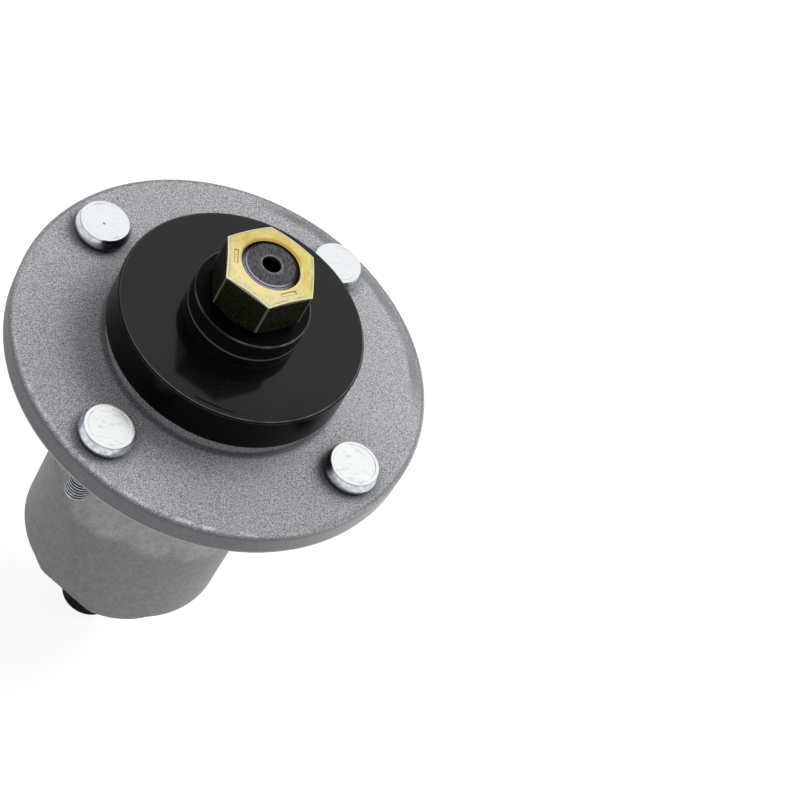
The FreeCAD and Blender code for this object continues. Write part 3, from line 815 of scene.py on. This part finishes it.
def model_nut():
    """Hexagon with turned chamfers, a countersunk bore and two grade dashes; the blank sets its ends."""
    low, high = NUT_LOW.z, NUT_HIGH.z
    corner_radius = NUT_ACROSS_FLATS / math.sqrt(3)
    bar_low, bar_high = low - NUT_END_SPARE, high + NUT_END_SPARE
    turn = NUT_CORNER_ANGLE + math.pi / 6
    nut = add_cylinder("blade_nut_hexagon", corner_radius, bar_low, bar_high, 6, turn)
    blank_radius = corner_radius + NUT_BLANK_SPARE
    drop = (blank_radius - NUT_FACE_RADIUS) * NUT_UPPER_SLOPE
    rise = (blank_radius - NUT_SEAT_RADIUS) * NUT_LOWER_SLOPE
    belt = low + NUT_SEAT_HEIGHT + rise
    blank = add_cylinder("nut_blank", blank_radius, belt, high - drop)
    bpy.ops.object.mode_set(mode="EDIT")
    choose(blank, "FACE", at_level(high - drop))
    extrude(drop, NUT_FACE_RADIUS / blank_radius)
    choose(blank, "FACE", at_level(belt))
    extrude(-rise, NUT_SEAT_RADIUS / blank_radius)
    extrude(-NUT_SEAT_HEIGHT)
    bpy.ops.object.mode_set(mode="OBJECT")
    cut(nut, blank, "INTERSECT")
    sink = NUT_COUNTERSINK
    bore = add_cylinder("nut_bore", NUT_BORE_RADIUS, low + sink, high - sink)
    bpy.ops.object.mode_set(mode="EDIT")
    choose(bore, "FACE", at_level(high - sink))
    extrude(2 * sink, (NUT_BORE_RADIUS + 2 * sink) / NUT_BORE_RADIUS)
    choose(bore, "FACE", at_level(low + sink))
    extrude(-2 * sink, (NUT_BORE_RADIUS + 2 * sink) / NUT_BORE_RADIUS)
    bpy.ops.object.mode_set(mode="OBJECT")
    cut(nut, bore, "DIFFERENCE")
    apply_modifier(
        nut, "BEVEL", width=NUT_EDGE_ROUND, segments=2, limit_method="ANGLE", angle_limit=NUT_EDGE_ANGLE
    )
    for angle in DASH_ANGLES:
        place = (DASH_RADIUS * math.cos(angle), DASH_RADIUS * math.sin(angle), high)
        bpy.ops.object.select_all(action="DESELECT")
        bpy.ops.mesh.primitive_cube_add(size=1, location=place, rotation=(0, 0, angle))
        bpy.context.object.scale = DASH_SIZE
        dash = named("nut_dash")
        apply_modifier(dash, "BEVEL", width=DASH_EDGE_ROUND, segments=2)
        cut(nut, dash, "DIFFERENCE")
    smooth(nut, NUT_SMOOTH_DEGREES)
    hand_over(nut, "spindle", "yellow_zinc", "blade_nut")


def model_drive_hole_thread():
    """The thread cut in the hole, as a ridge on its wall."""
    low = SHAFT_LOW.z + DRIVE_HOLE_START
    turns = int(DRIVE_HOLE_LENGTH / DRIVE_HOLE_PITCH) - 1
    hidden_radius = DRIVE_HOLE_RADIUS + DRIVE_HOLE_OVERLAP
    crest_radius = DRIVE_HOLE_RADIUS - DRIVE_HOLE_THREAD_DEPTH
    ridge = add_thread("drive_hole_thread", hidden_radius, crest_radius, DRIVE_HOLE_PITCH, low, turns)
    smooth(ridge)
    hand_over(ridge, "spindle", "black_oxide_steel")


def model_balls(end):
    """Round balls: a cube rounded into one ball, then spun into the ring."""
    low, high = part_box(end + "_bearing_balls")
    bpy.ops.object.select_all(action="DESELECT")
    place = (BALL_CIRCLE_RADIUS, 0, (low.z + high.z) / 2)
    bpy.ops.mesh.primitive_cube_add(size=BALL_RADIUS, location=place)
    ball = bpy.context.object
    apply_modifier(ball, "SUBSURF", levels=3, render_levels=3)
    apply_modifier(ball, "CAST", cast_type="SPHERE", factor=1.0, size=BALL_RADIUS)
    balls = named(end + "_ball_ring")
    bpy.ops.object.mode_set(mode="EDIT")
    bpy.ops.mesh.select_all(action="SELECT")
    bpy.ops.mesh.spin(steps=BALL_COUNT, dupli=True, angle=2 * math.pi, center=(0, 0, 0), axis=(0, 0, 1))
    bpy.ops.mesh.select_all(action="SELECT")
    bpy.ops.mesh.remove_doubles(threshold=BALL_MERGE)
    bpy.ops.mesh.normals_make_consistent(inside=False)
    bpy.ops.object.mode_set(mode="OBJECT")
    smooth(balls)
    hand_over(balls, end + "_ball_set", "bearing_steel", end + "_bearing_balls")


def model_seal(end, outward):
    """A rubber seal with a pressed groove round its outer face; outward is 1 or -1 along the axis."""
    node = end + "_bearing_outside_seal"
    low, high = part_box(node)
    inner, outer = SEAL_BORE_RADIUS, high.x
    back, face = (low.z, high.z) if outward > 0 else (high.z, low.z)
    sunk = face - outward * SEAL_GROOVE_DEPTH
    profile = [
        (inner + SEAL_LIP_WIDTH, back),
        (inner, back + outward * SEAL_LIP_HEIGHT),
        (inner, sunk),
        (inner + SEAL_BEAD_START, face),
        (inner + SEAL_BEAD_END, face),
        (inner + SEAL_BEAD_END + SEAL_GROOVE_SLOPE, sunk),
        (outer - SEAL_RIM_WIDTH - SEAL_GROOVE_SLOPE, sunk),
        (outer - SEAL_RIM_WIDTH, face),
        (outer, face),
        (outer, back),
    ]
    bpy.ops.object.select_all(action="DESELECT")
    radius, level = profile[0]
    bpy.ops.mesh.primitive_circle_add(vertices=ROUND_SIDES, radius=radius, location=(0, 0, level))
    seal = named(end + "_outside_seal_ring")
    bpy.ops.object.mode_set(mode="EDIT")
    bpy.ops.mesh.select_all(action="SELECT")
    for next_radius, next_level in profile[1:]:
        extrude(next_level - level, next_radius / radius)
        radius, level = next_radius, next_level
    choose(seal, "EDGE", lambda edge: edge.is_boundary)
    bpy.ops.mesh.bridge_edge_loops()
    bpy.ops.mesh.select_all(action="SELECT")
    bpy.ops.mesh.normals_make_consistent(inside=False)
    bpy.ops.object.mode_set(mode="OBJECT")
    smooth(seal)
    hand_over(seal, "housing", "seal_rubber", node)


model_bolts()
model_nut()
model_drive_hole_thread()
model_seal("blade", 1)
model_seal("drive", -1)
for end in ("blade", "drive"):
    model_balls(end)


def seen_rays(tree):
    """1 for rays from the camera, or from a mirror or glass."""
    path = tree.nodes.new("ShaderNodeLightPath")
    seen = path.outputs["Is Camera Ray"]
    for kind in ("Is Glossy Ray", "Is Transmission Ray"):
        either = tree.nodes.new("ShaderNodeMath")
        either.operation = "MAXIMUM"
        tree.links.new(seen, either.inputs[0])
        tree.links.new(path.outputs[kind], either.inputs[1])
        seen = either.outputs[0]
    return seen


def add_floor():
    """Pale floor under the drive end: white to the eye and in reflections, with a soft shadow."""
    bpy.ops.object.select_all(action="DESELECT")
    bpy.ops.mesh.primitive_plane_add(size=FLOOR_SIZE, location=(0, 0, SHAFT_LOW.z - FLOOR_GAP))
    floor = named("floor")
    paint = bpy.data.materials.new("floor_paint")
    paint.use_nodes = True
    tree = paint.node_tree
    tree.nodes.clear()
    output = tree.nodes.new("ShaderNodeOutputMaterial")
    pale = tree.nodes.new("ShaderNodeBsdfDiffuse")
    pale.inputs["Color"].default_value = grey(FLOOR_TONE)
    white = tree.nodes.new("ShaderNodeEmission")
    white.inputs["Strength"].default_value = FLOOR_GLOW
    seen = tree.nodes.new("ShaderNodeAddShader")
    mix = tree.nodes.new("ShaderNodeMixShader")
    tree.links.new(pale.outputs[0], seen.inputs[0])
    tree.links.new(white.outputs[0], seen.inputs[1])
    tree.links.new(seen_rays(tree), mix.inputs[0])
    tree.links.new(pale.outputs[0], mix.inputs[1])
    tree.links.new(seen.outputs[0], mix.inputs[2])
    tree.links.new(mix.outputs[0], output.inputs[0])
    floor.data.materials.append(paint)


def add_surroundings():
    """A room that looks white to the eye and in mirrors, and lights the object dimly."""
    world = bpy.data.worlds.new("studio")
    bpy.context.scene.world = world
    world.use_nodes = True
    tree = world.node_tree
    tree.nodes.clear()
    output = tree.nodes.new("ShaderNodeOutputWorld")
    dim = tree.nodes.new("ShaderNodeBackground")
    dim.inputs["Strength"].default_value = ROOM_LIGHT
    white = tree.nodes.new("ShaderNodeBackground")
    white.inputs["Strength"].default_value = 1.0
    for background in (dim, white):
        background.inputs["Color"].default_value = (1, 1, 1, 1)
    mix = tree.nodes.new("ShaderNodeMixShader")
    tree.links.new(seen_rays(tree), mix.inputs[0])
    tree.links.new(dim.outputs[0], mix.inputs[1])
    tree.links.new(white.outputs[0], mix.inputs[2])
    tree.links.new(mix.outputs[0], output.inputs[0])


def add_panel(name, place, size, radiance):
    """A square soft light that faces the object; mirrors see the white room instead."""
    bpy.ops.object.light_add(type="AREA", location=place)
    lamp = bpy.context.object
    lamp.name = name
    lamp.data.shape = "SQUARE"
    lamp.data.size = size
    lamp.data.energy = radiance * math.pi * size * size
    lamp.rotation_euler = (-place).to_track_quat("-Z", "Y").to_euler()
    lamp.visible_glossy = False


def add_camera():
    """The photograph's eye: long lens, from above and rolled."""
    data = bpy.data.cameras.new("photo_camera")
    data.sensor_width = CAMERA_SENSOR
    data.lens = CAMERA_LENS
    camera = bpy.data.objects.new("photo_camera", data)
    bpy.context.scene.collection.objects.link(camera)
    turn = Matrix((CAMERA_RIGHT, CAMERA_UP, CAMERA_BACK)).transposed().to_4x4()
    camera.matrix_world = Matrix.Translation(CAMERA_PLACE) @ turn
    bpy.context.scene.camera = camera


add_floor()
add_surroundings()
add_panel("key_panel", KEY_PLACE, KEY_SIZE, KEY_RADIANCE)
add_camera()
bpy.context.scene.view_settings.view_transform = "Standard"
